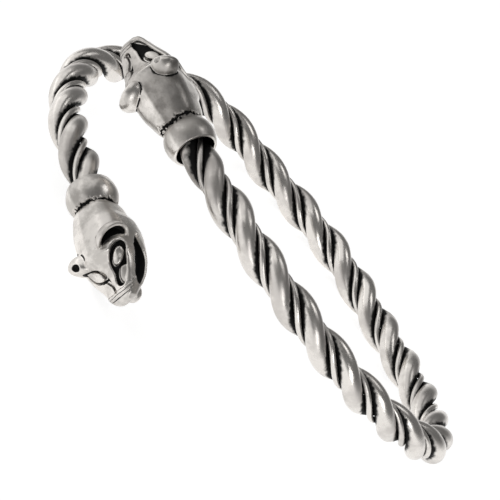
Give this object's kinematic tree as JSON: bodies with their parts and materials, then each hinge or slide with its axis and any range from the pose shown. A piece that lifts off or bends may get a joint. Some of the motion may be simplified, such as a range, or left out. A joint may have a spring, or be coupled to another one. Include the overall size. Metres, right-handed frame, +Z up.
{
  "type": "viking arm ring",
  "caption": "Open twisted wire bangle with a cast beast head in a barrel collar on each end.",
  "frame": {"origin": "middle of the bounding box on the floor, under the bangle as it lies", "axes": "+Z up; +X along the bangle's longest extent; the heads lie at -Y"},
  "size_m": [0.0754, 0.067, 0.0238],
  "materials": {
    "thick_wire": "polished silver, dark in the grooves",
    "thin_wire": "polished silver, darker and worn",
    "head": "polished cast silver with blackened hollows"
  },
  "bodies": {
    "root": {"thick_wire_a": "thick_wire", "thick_wire_b": "thick_wire", "thin_wire_a": "thin_wire", "thin_wire_b": "thin_wire", "lower_head": "head", "upper_head": "head"}
  },
  "joints": []
}
